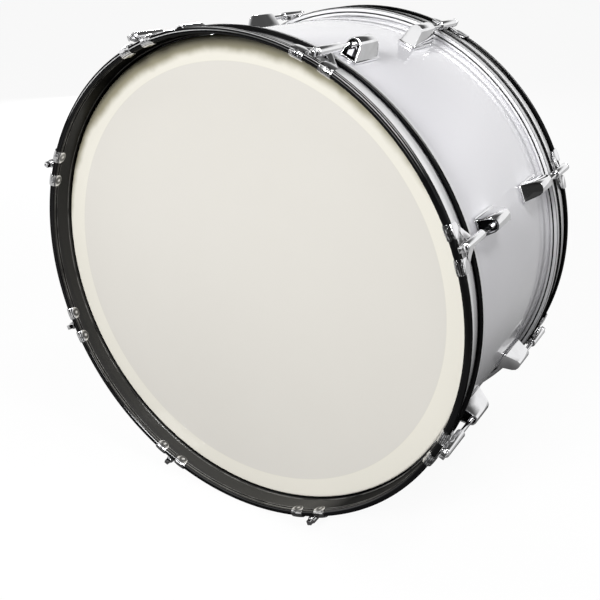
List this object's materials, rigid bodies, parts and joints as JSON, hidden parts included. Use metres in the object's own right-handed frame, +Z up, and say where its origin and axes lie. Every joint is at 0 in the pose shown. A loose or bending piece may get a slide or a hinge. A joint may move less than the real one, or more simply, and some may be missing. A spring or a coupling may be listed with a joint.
{
  "type": "bass drum",
  "caption": "Marching bass drum: a wood shell with tunable heads under rolled metal hoops, held by claws whose key rods screw into lugs on the shell.",
  "frame": {"origin": "on the floor under the drum's middle, at the bottom of the hoops and halfway between the heads", "axes": "+Z up, +Y along the drum's axis towards the rear head (the front head faces -Y), +X across the drum to the right as seen from the front"},
  "size_m": [0.633, 0.3764, 0.633],
  "materials": {
    "wrap": "gloss white wrap on a wood shell",
    "gloss_black": "gloss black",
    "inlay": "gloss white",
    "film": "coated, smooth white",
    "flesh_metal": "plain",
    "muffle": "soft matt",
    "chrome": "bright plate",
    "lug_casting": "bright-plated casting"
  },
  "bodies": {
    "drum": {"shell": "wrap", "vent_eyelet": "chrome", "front_lug_1": "lug_casting", "front_lug_2": "lug_casting", "front_lug_3": "lug_casting", "front_lug_4": "lug_casting", "front_lug_5": "lug_casting", "front_lug_6": "lug_casting", "front_lug_7": "lug_casting", "front_lug_8": "lug_casting", "rear_lug_1": "lug_casting", "rear_lug_2": "lug_casting", "rear_lug_3": "lug_casting", "rear_lug_4": "lug_casting", "rear_lug_5": "lug_casting", "rear_lug_6": "lug_casting", "rear_lug_7": "lug_casting", "rear_lug_8": "lug_casting"},
    "front_hoop_assembly": {"front_hoop": "gloss_black", "front_hoop_inlay": "inlay", "front_head_film": "film", "front_flesh_hoop": "flesh_metal", "front_muffle_ring": "muffle", "front_claw_1": "chrome", "front_claw_2": "chrome", "front_claw_3": "chrome", "front_claw_4": "chrome", "front_claw_5": "chrome", "front_claw_6": "chrome", "front_claw_7": "chrome", "front_claw_8": "chrome"},
    "front_tension_rod_1": {"front_tension_rod_1": "chrome"},
    "front_tension_rod_2": {"front_tension_rod_2": "chrome"},
    "front_tension_rod_3": {"front_tension_rod_3": "chrome"},
    "front_tension_rod_4": {"front_tension_rod_4": "chrome"},
    "front_tension_rod_5": {"front_tension_rod_5": "chrome"},
    "front_tension_rod_6": {"front_tension_rod_6": "chrome"},
    "front_tension_rod_7": {"front_tension_rod_7": "chrome"},
    "front_tension_rod_8": {"front_tension_rod_8": "chrome"},
    "rear_hoop_assembly": {"rear_hoop": "gloss_black", "rear_hoop_inlay": "inlay", "rear_head_film": "film", "rear_flesh_hoop": "flesh_metal", "rear_muffle_ring": "muffle", "rear_claw_1": "chrome", "rear_claw_2": "chrome", "rear_claw_3": "chrome", "rear_claw_4": "chrome", "rear_claw_5": "chrome", "rear_claw_6": "chrome", "rear_claw_7": "chrome", "rear_claw_8": "chrome"},
    "rear_tension_rod_1": {"rear_tension_rod_1": "chrome"},
    "rear_tension_rod_2": {"rear_tension_rod_2": "chrome"},
    "rear_tension_rod_3": {"rear_tension_rod_3": "chrome"},
    "rear_tension_rod_4": {"rear_tension_rod_4": "chrome"},
    "rear_tension_rod_5": {"rear_tension_rod_5": "chrome"},
    "rear_tension_rod_6": {"rear_tension_rod_6": "chrome"},
    "rear_tension_rod_7": {"rear_tension_rod_7": "chrome"},
    "rear_tension_rod_8": {"rear_tension_rod_8": "chrome"}
  },
  "joints": [
    {"name": "front_hoop_slide", "type": "slide", "parent": "drum", "child": "front_hoop_assembly", "axis": [0, -1, 0], "range_m": [0, 0.01]},
    {"name": "front_tension_rod_1_turn", "type": "hinge", "parent": "front_hoop_assembly", "child": "front_tension_rod_1", "pos_m": [0.29841, -0.1, 0.44011], "axis": [0, -1, 0], "range_deg": [0, 3403]},
    {"name": "front_tension_rod_2_turn", "type": "hinge", "parent": "front_hoop_assembly", "child": "front_tension_rod_2", "pos_m": [0.12361, -0.1, 0.61491], "axis": [0, -1, 0], "range_deg": [0, 3403]},
    {"name": "front_tension_rod_3_turn", "type": "hinge", "parent": "front_hoop_assembly", "child": "front_tension_rod_3", "pos_m": [-0.12361, -0.1, 0.61491], "axis": [0, -1, 0], "range_deg": [0, 3403]},
    {"name": "front_tension_rod_4_turn", "type": "hinge", "parent": "front_hoop_assembly", "child": "front_tension_rod_4", "pos_m": [-0.29841, -0.1, 0.44011], "axis": [0, -1, 0], "range_deg": [0, 3403]},
    {"name": "front_tension_rod_5_turn", "type": "hinge", "parent": "front_hoop_assembly", "child": "front_tension_rod_5", "pos_m": [-0.29841, -0.1, 0.19289], "axis": [0, -1, 0], "range_deg": [0, 3403]},
    {"name": "front_tension_rod_6_turn", "type": "hinge", "parent": "front_hoop_assembly", "child": "front_tension_rod_6", "pos_m": [-0.12361, -0.1, 0.01809], "axis": [0, -1, 0], "range_deg": [0, 3403]},
    {"name": "front_tension_rod_7_turn", "type": "hinge", "parent": "front_hoop_assembly", "child": "front_tension_rod_7", "pos_m": [0.12361, -0.1, 0.01809], "axis": [0, -1, 0], "range_deg": [0, 3403]},
    {"name": "front_tension_rod_8_turn", "type": "hinge", "parent": "front_hoop_assembly", "child": "front_tension_rod_8", "pos_m": [0.29841, -0.1, 0.19289], "axis": [0, -1, 0], "range_deg": [0, 3403]},
    {"name": "rear_hoop_slide", "type": "slide", "parent": "drum", "child": "rear_hoop_assembly", "axis": [0, 1, 0], "range_m": [0, 0.01]},
    {"name": "rear_tension_rod_1_turn", "type": "hinge", "parent": "rear_hoop_assembly", "child": "rear_tension_rod_1", "pos_m": [0.29841, 0.1, 0.44011], "axis": [0, 1, 0], "range_deg": [0, 3403]},
    {"name": "rear_tension_rod_2_turn", "type": "hinge", "parent": "rear_hoop_assembly", "child": "rear_tension_rod_2", "pos_m": [0.12361, 0.1, 0.61491], "axis": [0, 1, 0], "range_deg": [0, 3403]},
    {"name": "rear_tension_rod_3_turn", "type": "hinge", "parent": "rear_hoop_assembly", "child": "rear_tension_rod_3", "pos_m": [-0.12361, 0.1, 0.61491], "axis": [0, 1, 0], "range_deg": [0, 3403]},
    {"name": "rear_tension_rod_4_turn", "type": "hinge", "parent": "rear_hoop_assembly", "child": "rear_tension_rod_4", "pos_m": [-0.29841, 0.1, 0.44011], "axis": [0, 1, 0], "range_deg": [0, 3403]},
    {"name": "rear_tension_rod_5_turn", "type": "hinge", "parent": "rear_hoop_assembly", "child": "rear_tension_rod_5", "pos_m": [-0.29841, 0.1, 0.19289], "axis": [0, 1, 0], "range_deg": [0, 3403]},
    {"name": "rear_tension_rod_6_turn", "type": "hinge", "parent": "rear_hoop_assembly", "child": "rear_tension_rod_6", "pos_m": [-0.12361, 0.1, 0.01809], "axis": [0, 1, 0], "range_deg": [0, 3403]},
    {"name": "rear_tension_rod_7_turn", "type": "hinge", "parent": "rear_hoop_assembly", "child": "rear_tension_rod_7", "pos_m": [0.12361, 0.1, 0.01809], "axis": [0, 1, 0], "range_deg": [0, 3403]},
    {"name": "rear_tension_rod_8_turn", "type": "hinge", "parent": "rear_hoop_assembly", "child": "rear_tension_rod_8", "pos_m": [0.29841, 0.1, 0.19289], "axis": [0, 1, 0], "range_deg": [0, 3403]}
  ],
  "couplings": [
    {"joint": "front_tension_rod_1_turn", "follows": "front_hoop_slide", "rad_per_m": 5936.9},
    {"joint": "front_tension_rod_2_turn", "follows": "front_hoop_slide", "rad_per_m": 5936.9},
    {"joint": "front_tension_rod_3_turn", "follows": "front_hoop_slide", "rad_per_m": 5936.9},
    {"joint": "front_tension_rod_4_turn", "follows": "front_hoop_slide", "rad_per_m": 5936.9},
    {"joint": "front_tension_rod_5_turn", "follows": "front_hoop_slide", "rad_per_m": 5936.9},
    {"joint": "front_tension_rod_6_turn", "follows": "front_hoop_slide", "rad_per_m": 5936.9},
    {"joint": "front_tension_rod_7_turn", "follows": "front_hoop_slide", "rad_per_m": 5936.9},
    {"joint": "front_tension_rod_8_turn", "follows": "front_hoop_slide", "rad_per_m": 5936.9},
    {"joint": "rear_tension_rod_1_turn", "follows": "rear_hoop_slide", "rad_per_m": 5936.9},
    {"joint": "rear_tension_rod_2_turn", "follows": "rear_hoop_slide", "rad_per_m": 5936.9},
    {"joint": "rear_tension_rod_3_turn", "follows": "rear_hoop_slide", "rad_per_m": 5936.9},
    {"joint": "rear_tension_rod_4_turn", "follows": "rear_hoop_slide", "rad_per_m": 5936.9},
    {"joint": "rear_tension_rod_5_turn", "follows": "rear_hoop_slide", "rad_per_m": 5936.9},
    {"joint": "rear_tension_rod_6_turn", "follows": "rear_hoop_slide", "rad_per_m": 5936.9},
    {"joint": "rear_tension_rod_7_turn", "follows": "rear_hoop_slide", "rad_per_m": 5936.9},
    {"joint": "rear_tension_rod_8_turn", "follows": "rear_hoop_slide", "rad_per_m": 5936.9}
  ]
}
